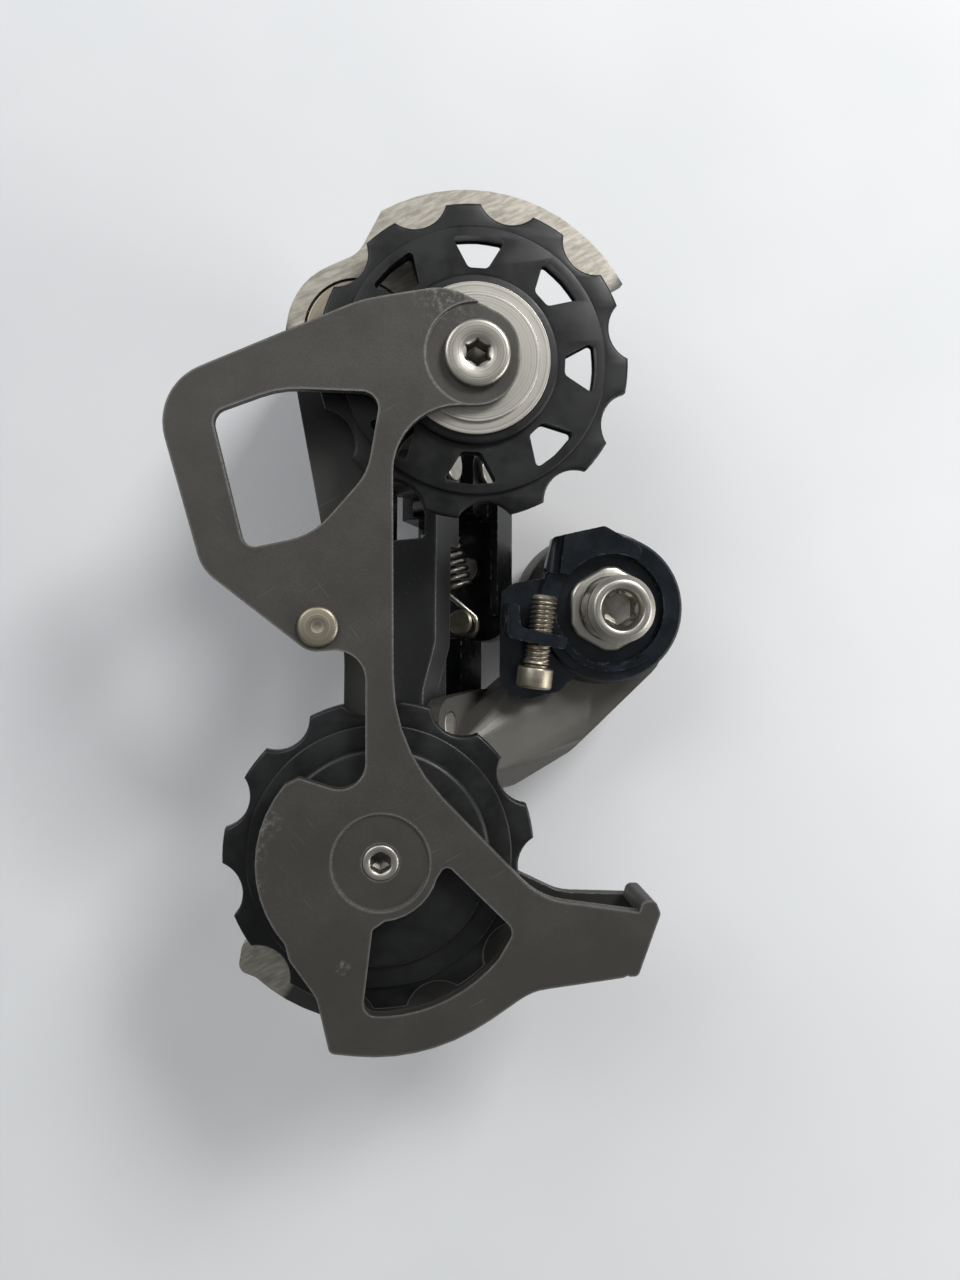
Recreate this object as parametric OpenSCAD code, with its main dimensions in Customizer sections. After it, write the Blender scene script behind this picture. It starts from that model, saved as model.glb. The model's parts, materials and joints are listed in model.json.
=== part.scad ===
// Rear bicycle derailleur, medium cage, seen from the wheel side along -Z.
// The origin lies on the hanger bolt's axis, at the seat that bears on the dropout hanger.
// +Z points to the wheel along the hanger bolt, +Y towards the guide pulley.

/* [Cage] */
// Height of the pulleys' middle plane above the hanger seat
pulley_z = 12; // [12:0.25:14]
// Width between the two cage plates
cage_gap = 8.2; // [8.2:0.1:8.6]
// Thickness of a cage plate
plate_t = 2; // [1.8:0.1:2]
// Steps of arc per corner, in degrees
corner_step = 9; // [6:1:15]

/* [Pulleys] */
// Number of teeth on each pulley
teeth = 11; // [11:1:11]
// Radius over the tooth tips
tip_r = 21.6; // [21.2:0.1:21.8]
// Thickness of the teeth
tooth_t = 2.4; // [2:0.1:2.6]
// Number of windows in the guide pulley
windows = 8; // [6:1:8]
// Radius of the sleeve that a pulley runs on
sleeve_r = 4; // [3.8:0.1:4.2]

/* [Parallelogram] */
// Distance between the two pins of a link
link_len = 40; // [38:0.5:41]
// Distance between the two pins in one knuckle
pin_gap = 13; // [12.6:0.1:13.2]
// Angle of the pins to the plane of the wheel
slant = 30; // [28:1:32]
// Turn of the links about the wheel's axis
heading = 4; // [3:1:5]
// Outward slope of the links at rest
rest_slope = 10; // [8:1:11]
// Radius of a link pin
pin_r = 2; // [1.8:0.1:2.1]

/* [Hanger bolt] */
// Radius of the hanger bolt's thread, M10
hanger_r = 5; // [5:0.5:5]
// Length of the hanger bolt's thread
hanger_len = 8.5; // [8:0.5:9]
// Chamfer at the thread's end
thread_chamfer = 0.7; // [0.5:0.1:1]

/* [Fits] */
// Radial clearance of a running fit
running = 0.05; // [0.03:0.01:0.08]
// Gap between faces that pass each other
gap = 0.3; // [0.25:0.05:0.35]

/* [Hidden] */
$fn = 64;

// Cage layout
guide_at = [-22, 34];
tension_at = [-35, -34];
axle_at = [-38, 39];
inner_z = pulley_z + cage_gap / 2;
outer_z = pulley_z - cage_gap / 2 - plate_t;
outer_top = outer_z + plate_t;
cut = 1;
through = 60;

// Inner plate: corners as x, y and corner radius, clockwise from the guide pulley's bolt
inner_corners = [[-16.2, 38.2, 5.5], [-16.2, 27.4, 6], [-33.2, 27, 9], [-33.2, -18.5, 24],
    [-13.3, -39.4, 10], [2, -41.8, 0.6], [-0.7, -50.4, 2.4], [-14.5, -52, 8], [-20.2, -55.8, 3],
    for (a = [-62:-6:-98]) [tension_at.x + 26.3 * cos(a), tension_at.y + 26.3 * sin(a), 0],
    [-41.9, -59.6, 1], [-43.6, -52, 5], [-47.2, -46.8, 2],
    for (a = [-140:-8:-222]) [tension_at.x + 16.6 * cos(a), tension_at.y + 16.6 * sin(a), 0],
    [-45.8, -22.4, 0.8], [-37, -25.4, 3.5], [-36.9, -5.2, 4], [-44.4, -5.7, 3.5], [-58.2, 5.2, 6],
    [-64.6, 28.9, 8], [-37.3, 40.8, 20], [-26, 42.9, 8]];
upper_window = [[-56.9, 25.6, 2], [-48, 29, 14], [-34.7, 28.7, 2.2], [-36.6, 18, 8], [-43.8, 9.8, 10],
    [-52.7, 7.9, 1.8]];
lower_window_in = 7.9;
lower_window_out = 20.8;
tail_tab = [[0.2, -41.8, 0.3], [0.8, -40, 0.9], [2.6, -40, 0.9], [3.3, -41.8, 0.8], [0.2, -50.4, 0.8],
    [-1.4, -50.4, 0.3], [1.5, -43.4, 0.6]];
recess = 0.4;
guide_recess_r = 6.9;
tension_recess_r = 6.6;
guard_pin_at = [-43.2, -2.3];
guard_pin_r = 1.5;
guard_pin_bottom = 9.5;
guard_pin_body_r = 2.2;
guard_pin_head_r = 2.75;
guard_pin_head_t = 0.9;

// Outer plate
guard_r = 25.3;
guard_in_r = 18.4;
outer_corners = [[-33.4, 27, 9], [-33.4, -14, 20], [-25.5, -33, 10], [-9, -41.2, 8], [3.4, -41.8, 0.8],
    [1.2, -49.6, 1.5], [-14, -51.5, 8], [-20.6, -55, 3],
    for (a = [-62:-6:-134]) [tension_at.x + 25.5 * cos(a), tension_at.y + 25.5 * sin(a), 0],
    [-55.2, -51.3, 1.5], [-54.6, -47.6, 1.5], [-48.5, -43, 4], [-46.5, -30, 8], [-40.2, -18, 12],
    [-40, -6, 20], [-46.6, 31, 8],
    for (a = [176:-9:112]) [axle_at.x + 9.9 * cos(a), axle_at.y + 9.9 * sin(a), 0],
    [-37.8, 50, 4],
    for (a = [120:-6:30]) [guide_at.x + guard_r * cos(a), guide_at.y + guard_r * sin(a), 0],
    for (a = [30:8:110]) [guide_at.x + guard_in_r * cos(a), guide_at.y + guard_in_r * sin(a), 0],
    [-29.5, 44, 3], [-16, 42, 7], [-14.5, 27, 7]];
stop_pin_r = 1;
stop_pin_at = 8.6;
stop_pin_angle = 200;
flange_r = 7.3;
axle_r = 5;
axle_neck_r = 6;
flange_t = 1.5;
axle_bottom = -12.6;
axle_screw_r = 2.5;
axle_screw_head_r = 6.6;
axle_screw_head_t = 1.5;
stop_pin_bottom = 3.9;

// Pulleys
valley_r = 4.6;
valley_at = 23.9;
hub_half = 3.1;
guide_hub_r = 11.6;
rim_r = 17.5;
rim_t = 3.8;
bush_r = 6;
cap_r = 10.3;
cap_step_r = 8.7;
cap_play = 0.15;
cap_t = 0.35;
guide_tooth_angle = 94;
guide_window_angle = 88;
tension_tooth_angle = 110;
tooth_bevel = 0.5;
web_r = rim_r + 0.8;
groove_depth = 0.5;
guide_groove = [rim_r - 0.3, rim_r + 0.2];
tension_groove = [11.6, 12.6];
tension_face_r = 15.2;
tension_cap_r = 8;
pulley_bolt_r = 2.5;
guide_head_r = 4.5;
guide_head_t = 1.5;
tension_head_r = 4.2;
tension_head_t = 1.8;
tension_end_socket = 2.5;
pulley_key = 3;
guide_socket = 4;

// Knuckles, heights along Z
b_mid = [-27.5, -17.5, -8];
eye_r = 3.8;
head_room = 10;
eye_len = 12;
inner_arm = 12;
outer_arm = 7.5;
pin_head_r = pin_r + 0.6;
pin_head_t = 1.2;
eye_half = 4.5;
fork_half = 6.5;
tongue_half = 4.2;
tongue_back = 6;
tongue_reach = 9;
// The arm of the P-knuckle: its post round the axle, and its end, which lies inside the tongue's reach
p_post_r = 9;
p_post_t = 14;
p_arm_half = 5.6;
p_arm_start = 4.6;
p_arm_end = 7.5;
p_arm_reach = tongue_reach - 0.6;
cheek_in = eye_half + gap;
cheek_out = 7.3;
b_bottom = -22;
b_top = -2.6;
b_cavity_r = 9.4;
b_cavity_bottom = -19.5;
b_cavity_top = -5.5;
b_bush_r = 6.2;
b_spring_r = 7.8;
b_wire_r = 1.1;
spring_turns = 4;
barrel_r = 12.4;
// The arm from the barrel to the link pins: its posts as x, y and radius
knuckle_feet = [[3.5, -5.5, 6.6], [-9.5, -16.5, 7.6], [-16.3, -22.1, 6.2]];
arm_bottom = -17.5;
arm_t = 10.5;
// The fork that holds the link pins, in the frame of the links
fork_back = -10;
fork_face = -4.4;
cheek_reach = 10;
cheek_r = 4;
// How deep the arm's end lies inside the fork, and how far it reaches to each side there
arm_sink = 0.6;
arm_reach = 8.5;
bolt_shaft_r = 4.5;
bolt_head_r = 7;
bolt_head_t = 2.4;
bolt_play = 0.2;
mouth_r = 3.1;
mouth_depth = 2.5;
end_socket = 4.5;
end_socket_depth = 5;
head_socket = 5;
head_socket_depth = 4;
washer_r = 6.5;
washer_t = 1.6;
stopper_pocket_r = 8.3;
p_bottom = -16;
p_body_r = 10.5;
p_cavity_r = 8.3;
p_cavity_bottom = -11;
p_cavity_top = 1;
p_bush_r = 6;
p_bush_t = 1.5;
p_spring_r = 6.8;
p_wire_r = 0.95;
p_cap_r = 8.8;
p_cap_t = 1.6;
p_cap_room = 3.5;
p_neck_r = 6.6;
p_shoulder = 3.4;
p_top = 5.5;
p_mid = [0, link_len * cos(rest_slope), -link_len * sin(rest_slope)];

// Stopper plate and its screw
stopper_bottom = -2.3;
stopper_top = -0.2;
stopper_r = 11.2;
ear_t = 1.1;
stop_t = 3.6;
lug_t = 7;
// Raised crescent rim on the plate
rim_start = 188;
rim_sweep = 118;
rim_w = 0.9;
rim_h = 0.9;
b_screw_tip = [-10.4, 2, 2];
b_screw_tilt = 7.3;
b_screw_r = 2;
b_screw_len = 14;
b_screw_head_r = 2.7;
b_screw_head_t = 3.2;
cross_half = 1.5;
cross_w = 0.7;
cross_depth = 1.3;

// Limit screws
limit_r = 1.5;
limit_len = 10.2;
limit_head_r = 2.4;
limit_head_t = 1.8;
limit_offset = 2.7;
limit_tip = 2.5;

// Outer link's open edge, beside the B-knuckle's barrel
web_edge = 10;
web_wall = 1.2;
web_t = 2;

// Cable anchor on the outer link
anchor_at = [3, 24];
anchor_bolt_r = 2;
anchor_seat = 1.4;
anchor_washer_t = 1;
anchor_head_t = 3;
anchor_boss_r = 3.3;
anchor_washer_r = 4;
anchor_head_r = 3.8;

// Barrel adjuster, along -Y
adjuster_at = [-19.5, -29.5, -12];
adjuster_thread_r = 2.5;
adjuster_boss_r = 4.4;
adjuster_boss_len = 8;
adjuster_r = 4.3;
adjuster_len = 8.5;
rib_r = 0.5;
ferrule_r = 2.6;
ferrule_depth = 6;
cable_r = 0.9;

// Return spring
post_at = [4.2, 14.5];
post_r = 1.2;
hook_at = [1.8, -6.6];
coil_r = 2.7;
wire_r = 0.5;
coil_turns = 9;
coil_sides = 14;

function unit(v) = v / norm(v);
function arc_points(c, r, a, turn, n) =
    [for (i = [0:n]) c + r * [cos(a + turn * i / n), sin(a + turn * i / n)]];
function short_turn(t) = t > 180 ? t - 360 : t < -180 ? t + 360 : t;

// The points that round off corner q, between its neighbours p and s, with radius r
function corner_points(p, q, s, r) =
    let (u = unit(p - q), v = unit(s - q), half = acos(u * v) / 2,
        c = q + unit(u + v) * r / sin(half),
        from = q + u * r / tan(half) - c,
        to = q + v * r / tan(half) - c,
        a = atan2(from.y, from.x),
        turn = short_turn(atan2(to.y, to.x) - a))
    arc_points(c, r, a, turn, max(1, ceil(abs(turn) / corner_step)));

function flat(c) = [c.x, c.y];
function outline(corners) =
    let (n = len(corners))
    [for (i = [0:n - 1])
        each corners[i].z == 0 ? [flat(corners[i])]
            : corner_points(flat(corners[(i + n - 1) % n]), flat(corners[i]), flat(corners[(i + 1) % n]),
                corners[i].z)];

function direction(path, i) = unit(path[min(i + 1, len(path) - 1)] - path[max(i - 1, 0)]);
function square_to(n, t) = unit(n - (n * t) * t);

// A round wire along a path, its rings carried along without twist
module wire(path, r, start, sides = 8) {
    last = len(path) - 1;
    normals = [for (i = 0, n = square_to(start, direction(path, 0)); i <= last;
        i = i + 1, n = square_to(n, direction(path, min(i, last)))) n];
    points = [for (i = [0:last]) for (k = [0:sides - 1])
        path[i] + r * (cos(k * 360 / sides) * normals[i]
            + sin(k * 360 / sides) * cross(direction(path, i), normals[i]))];
    ends = [[for (k = [0:sides - 1]) k], [for (k = [sides - 1:-1:0]) last * sides + k]];
    walls = [for (i = [0:last - 1]) for (k = [0:sides - 1])
        let (a = i * sides + k, b = i * sides + (k + 1) % sides)
        each [[a, b + sides, b], [a, a + sides, b + sides]]];
    polyhedron(points, concat(ends, walls));
}

function helix(r, height, turns, per_turn = 16) =
    [for (i = [0:turns * per_turn])
        [r * cos(i * 360 / per_turn), r * sin(i * 360 / per_turn), height * i / (turns * per_turn)]];

module at(xy, z = 0) { translate([xy.x, xy.y, z]) children(); }

// A ring from z0 to z1, with bevelled outer edges
module ring(r_out, r_in, z0, z1, bevel = 0) {
    rotate_extrude()
        polygon([[r_in, z0], [r_out - bevel, z0], [r_out, z0 + bevel], [r_out, z1 - bevel],
            [r_out - bevel, z1], [r_in, z1]]);
}

// A disc from z0 to z1, with bevelled edges
module disc(r, z0, z1, bevel = 0) { ring(r, 0, z0, z1, bevel); }

// A round bar along X, centred on the origin
module bar_x(r, length) { rotate([0, 90, 0]) cylinder(r = r, h = length, center = true); }

// A round bar along X, from x0 to x1
module rod_x(r, x0, x1) { translate([x0, 0, 0]) rotate([0, 90, 0]) cylinder(r = r, h = x1 - x0); }

// A box given by its low and high corners
module box(low, high) { translate(low) cube(high - low); }

// Frame of the parallelogram: X along the pins, Y towards the P-knuckle, Z towards the wheel
module in_link_frame() { translate(b_mid) rotate([0, -slant, heading]) children(); }

module in_p_frame() { in_link_frame() translate(p_mid) children(); }

// Frame of one link: its own pin at the B-knuckle is the origin
module in_link(side) {
    in_link_frame() translate([0, 0, side * pin_gap / 2]) rotate([-rest_slope, 0, 0]) children();
}

// ---------- Fixed to the hanger ----------

module hanger_bolt() {
    seat_z = b_bottom - bolt_play;
    head_z = seat_z - bolt_head_t;
    straight = hanger_len - thread_chamfer;
    color("silver") difference() {
        union() {
            disc(bolt_shaft_r, seat_z, 0);
            cylinder(r = hanger_r, h = straight);
            translate([0, 0, straight])
                cylinder(r1 = hanger_r, r2 = hanger_r - thread_chamfer, h = thread_chamfer);
            disc(bolt_head_r, head_z, seat_z, 0.5);
        }
        translate([0, 0, hanger_len - mouth_depth])
            cylinder(r1 = mouth_r - 1.1, r2 = mouth_r, h = mouth_depth + 0.01);
        translate([0, 0, hanger_len - end_socket_depth]) hex_socket(end_socket, end_socket_depth + cut);
        translate([0, 0, head_z - cut]) hex_socket(head_socket, head_socket_depth + cut);
    }
}

module hanger_washer() {
    color("silver") ring(washer_r, bolt_shaft_r, -washer_t, 0, 0.3);
}

module stopper_plate() {
    ear = [[-6, 4.4, 2], [-10.6, 4.6, 1], [-14.6, 3.9, 1], [-16.6, 2.6, 1], [-16.8, -12, 2.5],
        [-13, -13.9, 2.5], [-7.6, -12.6, 2], [-5, -10, 2]];
    stop = [[-10.1, 5.6, 0.6], [-8.9, 10.8, 0.8], [-1.2, 12.5, 1], [4.6, 9.2, 1], [3, 4, 1]];
    lug = [[-16.2, 0.8, 0.5], [-16.4, -4.2, 1], [-7.8, -6, 0.5], [-7.4, -4.2, 0.5], [-14.4, -2.7, 1],
        [-14.6, 0.8, 0.5]];
    color("darkslategray") difference() {
        union() {
            disc(stopper_r, stopper_bottom, stopper_top, 0.4);
            translate([0, 0, stopper_bottom]) linear_extrude(ear_t) polygon(outline(ear));
            translate([0, 0, stopper_bottom]) linear_extrude(stop_t) polygon(outline(stop));
            translate([0, 0, stopper_bottom]) linear_extrude(lug_t) polygon(outline(lug));
            translate([0, 0, stopper_top]) rotate([0, 0, rim_start]) rotate_extrude(angle = rim_sweep)
                translate([stopper_pocket_r + gap, -gap]) square([rim_w, gap + rim_h]);
        }
        translate([0, 0, -washer_t]) cylinder(r = stopper_pocket_r, h = lug_t);
        cylinder(r = bolt_shaft_r + running, h = through, center = true);
        b_screw_line() rotate([90, 0, 0])
            cylinder(r = b_screw_r + running, h = 2 * b_screw_len, center = true);
    }
}

// Axis of the B-tension screw: origin at its tip, -Y towards its head
module b_screw_line() { translate(b_screw_tip) rotate([0, 0, -b_screw_tilt]) children(); }

module b_tension_screw() {
    color("tan") b_screw_line() rotate([90, 0, 0]) difference() {
        union() {
            disc(b_screw_r, 0, b_screw_len - b_screw_head_t, 0.4);
            disc(b_screw_head_r, b_screw_len - b_screw_head_t, b_screw_len, 0.5);
        }
        cross_slot(b_screw_len);
    }
}

// A hexagonal socket, given by its width across the flats
module hex_socket(flats, depth) { cylinder(r = flats / 2 / cos(30), h = depth, $fn = 6); }

// A crosshead recess sunk into a screw head whose top is at z
module cross_slot(z) {
    for (a = [0, 90]) rotate([0, 0, a])
        box([-cross_half, -cross_w / 2, z - cross_depth], [cross_half, cross_w / 2, z + cut]);
}

// ---------- B-knuckle ----------

module b_knuckle() {
    color("dimgray") difference() {
        union() {
            b_barrel();
            hull() {
                knuckle_foot(0);
                knuckle_foot(1);
            }
            hull() {
                knuckle_foot(1);
                knuckle_foot(2);
                in_link_frame() box([0, fork_back + arm_sink, -arm_reach],
                    [cheek_out - arm_sink, fork_face - arm_sink, arm_reach]);
            }
            at(flat(adjuster_at), adjuster_at.z) rotate([-90, 0, 0])
                cylinder(r = adjuster_boss_r, h = adjuster_boss_len);
            in_link_frame() {
                box([-cheek_out, fork_back, -cheek_reach], [cheek_out, fork_face, cheek_reach]);
                cheek(-cheek_out);
                cheek(cheek_in);
            }
        }
        translate([0, 0, b_cavity_bottom]) cylinder(r = b_cavity_r, h = b_cavity_top - b_cavity_bottom);
        cylinder(r = b_bush_r, h = through, center = true);
        for (s = [-1, 1]) in_link_frame() translate([0, 0, s * pin_gap / 2]) {
            rod_x(pin_r, -cheek_out - 1, cheek_out);
            rod_x(pin_head_r + gap, -cheek_out - head_room, -cheek_out);
        }
        in_link_frame()
            box([-cheek_in, fork_face, -cheek_reach - cut], [cheek_in, eye_r + gap, cheek_reach + cut]);
        for (s = [-1, 1]) limit_line(s) cylinder(r = limit_r + running, h = 2 * limit_len);
        translate(adjuster_at) rotate([-90, 0, 0]) {
            translate([0, 0, -cut]) cylinder(r = adjuster_thread_r + running, h = adjuster_boss_len + cut);
            cylinder(r = cable_r, h = 30);
        }
    }
}

module b_barrel() {
    foot_r = barrel_r - 1.2;
    rotate_extrude() polygon([[0, b_bottom], [foot_r, b_bottom], [barrel_r, b_bottom + 1.5], [barrel_r, -8],
        [foot_r, -5], [foot_r, b_top - 0.4], [foot_r - 0.4, b_top], [0, b_top]]);
}

// One of the round posts whose hulls make the knuckle's arm, with its lower edge slightly convex
module knuckle_foot(i) {
    foot = knuckle_feet[i];
    at(flat(foot), arm_bottom) cylinder(r = foot.z, h = arm_t, $fn = 32);
}

// One wall of the fork that holds the link pins, from x to x plus the wall's thickness
module cheek(x) {
    wall = cheek_out - cheek_in;
    for (s = [-1, 1]) translate([x + wall / 2, 0, s * pin_gap / 2]) bar_x(cheek_r, wall);
    box([x, fork_face - cut, -cheek_reach], [x + wall, 0, cheek_reach]);
    box([x, -cut, -pin_gap / 2], [x + wall, cheek_r, pin_gap / 2]);
}

module b_bushes() {
    color("gainsboro") {
        ring(b_bush_r, bolt_shaft_r + running, b_cavity_top, b_top, 0.2);
        ring(b_bush_r, bolt_shaft_r + running, b_bottom, b_cavity_bottom, 0.2);
    }
}

module b_spring() {
    color("gray") at([0, 0], b_cavity_bottom + 1.7)
        wire(helix(b_spring_r, 10.6, spring_turns), b_wire_r, [1, 0, 0]);
}

module b_link_pins() {
    color("silver") for (s = [-1, 1]) in_link_frame() translate([0, 0, s * pin_gap / 2]) {
        rod_x(pin_r, -cheek_out, cheek_out);
        rod_x(pin_head_r, -cheek_out - pin_head_t, -cheek_out);
    }
}

// Axis of a limit screw: origin at its tip, +Z towards its head
module limit_line(side) {
    in_link_frame() translate([side * limit_offset, -limit_tip, 0]) rotate([90, 0, 0]) children();
}

module limit_screw(side) {
    color("silver") limit_line(side) difference() {
        union() {
            disc(limit_r, 0, limit_len - limit_head_t, 0.3);
            disc(limit_head_r, limit_len - limit_head_t, limit_len, 0.4);
        }
        cross_slot(limit_len);
    }
}

module high_limit_screw() { limit_screw(-1); }

module low_limit_screw() { limit_screw(1); }

module barrel_adjuster() {
    color("black") translate(adjuster_at) rotate([90, 0, 0]) difference() {
        union() {
            disc(adjuster_r, gap, adjuster_len, 0.5);
            translate([0, 0, cut - adjuster_boss_len])
                cylinder(r = adjuster_thread_r, h = adjuster_boss_len - cut + gap);
            for (a = [0:30:330]) rotate([0, 0, a]) at([adjuster_r - 0.2, 0], 1.4) cylinder(r = rib_r, h = 6);
        }
        translate([0, 0, adjuster_len - ferrule_depth]) cylinder(r = ferrule_r, h = ferrule_depth + cut);
        cylinder(r = cable_r, h = through, center = true);
    }
}

// ---------- Links ----------

// The parts that both links share: the eye at the B-knuckle and the fork at the P-knuckle
module link_ends(arm_len) {
    bar_x(eye_r, 2 * eye_half);
    box([-eye_half, 0, -eye_r], [eye_half, eye_len, eye_r]);
    translate([0, link_len, 0]) bar_x(eye_r, 2 * fork_half);
    box([-fork_half, link_len - arm_len - 0.5, -eye_r], [fork_half, link_len, eye_r]);
}

// The pin holes and the slot between the fork's arms
module link_holes(arm_len) {
    bar_x(pin_r + running, 30);
    translate([0, link_len, 0]) bar_x(pin_r + running, 30);
    box([-eye_half, link_len - arm_len, -20], [eye_half, link_len + 8, 20]);
}

module inner_link() {
    web_end = link_len - inner_arm - 0.2;
    web = [[-eye_half, 5, 0], [-fork_half, eye_len, 4], [-fork_half, web_end, 0], [fork_half, web_end, 0],
        [fork_half, eye_len, 4], [eye_half, 5, 0]];
    color("slategray") in_link(1) difference() {
        union() {
            link_ends(inner_arm);
            translate([0, 0, -1]) linear_extrude(eye_r + 1) polygon(outline(web));
        }
        link_holes(inner_arm);
        box([-eye_half, eye_len, -5], [eye_half, link_len, eye_r - web_t]);
    }
}

module outer_link() {
    web_end = link_len - eye_r - cut;
    web = [[-fork_half, eye_len, 0], [-fork_half, web_end, 0], [web_edge, web_end, 1.5],
        [web_edge, eye_len, 4]];
    color("dimgray") in_link(-1) difference() {
        union() {
            difference() {
                link_ends(outer_arm);
                link_holes(outer_arm);
            }
            translate([0, 0, -eye_r]) linear_extrude(web_t) polygon(outline(web));
            box([web_edge - web_wall, 15.5, -eye_r + 0.5], [web_edge, web_end - 1.5, 2]);
            at(anchor_at, -eye_r - anchor_seat) cylinder(r = anchor_boss_r, h = anchor_seat + web_t / 2);
        }
        at(anchor_at, -8) cylinder(r = anchor_bolt_r, h = 8);
        at(post_at, -6) cylinder(r = post_r, h = 8);
    }
}

module spring_post() {
    color("darkkhaki") in_link(-1) at(post_at) {
        disc(post_r, -eye_r, 3.1);
        disc(2.1, 3.1, 4, 0.3);
    }
}

module cable_clamp_washer() {
    top = -eye_r - anchor_seat;
    color("silver") in_link(-1) at(anchor_at)
        ring(anchor_washer_r, anchor_bolt_r, top - anchor_washer_t, top, 0.2);
}

module cable_anchor_bolt() {
    head_top = -eye_r - anchor_seat - anchor_washer_t;
    head_bottom = head_top - anchor_head_t;
    color("silver") in_link(-1) at(anchor_at) difference() {
        union() {
            disc(anchor_bolt_r, head_top, -0.9, 0.2);
            disc(anchor_head_r, head_bottom, head_top, 0.4);
        }
        translate([0, 0, head_bottom - cut]) hex_socket(4, 2 + cut);
    }
}

// Coil spring from the outer link's post to the hook on the P-knuckle, an open loop at each end
module return_spring() {
    slope = rest_slope;
    low = [post_at.x, post_at.y * cos(slope) + 1.3 * sin(slope),
        -pin_gap / 2 - post_at.y * sin(slope) + 1.3 * cos(slope)];
    high = p_mid + [hook_at.x, hook_at.y, 2.6];
    loop_r = post_r + wire_r + 0.25;
    start = low + [-1.2, 5.5, 1];
    finish = high + [0, -2.4, -0.4];
    axis = unit(finish - start);
    across = unit(cross(axis, [0, 0, 1]));
    steps = coil_turns * coil_sides;
    coil = [for (i = [0:steps])
        let (a = 90 + i * 360 / coil_sides)
        start + (finish - start) * i / steps + coil_r * (cos(a) * across + sin(a) * cross(across, axis))];
    low_loop = [for (a = [-150:30:60]) low + loop_r * [cos(a), sin(a), 0]];
    high_loop = [for (a = [-60:30:150]) high + loop_r * [cos(a), sin(a), 0]];
    color("gainsboro") in_link_frame() wire(concat(low_loop, coil, high_loop), wire_r, [0, 0, 1]);
}

// ---------- P-knuckle ----------

module p_knuckle() {
    color("dimgray") difference() {
        union() {
            at(axle_at) rotate_extrude() polygon([[0, p_bottom], [p_body_r - 0.8, p_bottom],
                [p_body_r, p_bottom + 0.8], [p_body_r, p_shoulder - 0.5], [p_body_r - 0.5, p_shoulder],
                [p_neck_r, p_shoulder], [p_neck_r, p_top], [0, p_top]]);
            at(axle_at) stop_lug();
            hull() {
                at(axle_at, -p_post_t) cylinder(r = p_post_r, h = p_post_t, $fn = 32);
                in_p_frame()
                    box([-p_arm_half, p_arm_start, -p_arm_reach], [p_arm_half, p_arm_end, p_arm_reach]);
            }
            in_p_frame() tongue();
        }
        at(axle_at, p_cavity_bottom) cylinder(r = p_cavity_r, h = p_cavity_top - p_cavity_bottom);
        at(axle_at, p_bottom - cut) cylinder(r = p_cap_r, h = cut + p_cap_room);
        at(axle_at) cylinder(r = p_bush_r, h = through, center = true);
        for (s = [-1, 1]) in_p_frame() translate([0, 0, s * pin_gap / 2]) bar_x(pin_r, 2 * tongue_half + 1);
        in_p_frame() fork_room();
    }
}

// Room for the two link forks beside the tongue
module fork_room() {
    for (s = [-1, 1]) for (x = [-1, 1])
        translate([x * (tongue_half + 2.6), 0, s * pin_gap / 2]) bar_x(eye_r + 0.6, 5.2);
}

module tongue() {
    for (s = [-1, 1]) translate([0, 0, s * pin_gap / 2]) bar_x(eye_r, 2 * tongue_half);
    box([-tongue_half, -eye_r, -pin_gap / 2], [tongue_half, tongue_back, pin_gap / 2]);
    box([-tongue_half, 0, -tongue_reach], [tongue_half, tongue_back, tongue_reach]);
    box([hook_at.x - 1, hook_at.y, -0.6], [hook_at.x + 1, -3, 0.9]);
    at(hook_at, -0.6) cylinder(r = post_r, h = 5);
}

// Raised sector beside the stop pin's rest place
module stop_lug() {
    half_pin = asin(stop_pin_r / stop_pin_at);
    rotate([0, 0, stop_pin_angle + half_pin + 2]) rotate_extrude(angle = 20)
        translate([p_neck_r - 0.4, p_shoulder - 0.5]) square([3.6, 2.4]);
}

module p_bushes() {
    color("gainsboro") at(axle_at) {
        ring(p_bush_r, axle_r + running, p_cavity_top, p_top, 0.2);
        ring(p_bush_r, axle_r + running, p_cavity_bottom - p_bush_t, p_cavity_bottom, 0.2);
    }
}

module p_spring() {
    color("gray") at(axle_at, p_cavity_bottom + 1.3)
        wire(helix(p_spring_r, 9.2, spring_turns), p_wire_r, [1, 0, 0]);
}

module p_link_pins() {
    color("silver") for (s = [-1, 1]) in_p_frame() translate([0, 0, s * pin_gap / 2]) {
        bar_x(pin_r, 2 * fork_half + 1);
        for (x = [-1, 1]) translate([x * (fork_half + 0.8), 0, 0]) bar_x(pin_head_r, 0.8);
    }
}

module p_cap() {
    color("dimgray") at(axle_at) disc(p_cap_r, p_bottom, p_bottom + p_cap_t, 0.3);
}

module p_seal() {
    color("black") at(axle_at) ring(p_neck_r - 0.1, axle_r + 0.3, p_top, outer_z, 0.1);
}

// ---------- Cage ----------

module plate_axle() {
    color("tan") at(axle_at) difference() {
        union() {
            disc(axle_r, axle_bottom, outer_z);
            disc(axle_neck_r, outer_z, outer_top - flange_t);
            disc(flange_r, outer_top - flange_t, outer_top, 0.2);
        }
        translate([0, 0, axle_bottom - cut]) cylinder(r = axle_screw_r, h = 8 + cut);
    }
}

module axle_screw() {
    color("silver") at(axle_at) difference() {
        union() {
            disc(axle_screw_head_r, axle_bottom - axle_screw_head_t, axle_bottom, 0.3);
            disc(axle_screw_r, axle_bottom, axle_bottom + 7.1, 0.3);
        }
        translate([0, 0, axle_bottom - axle_screw_head_t - cut]) hex_socket(3, 3 + cut);
    }
}

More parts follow.
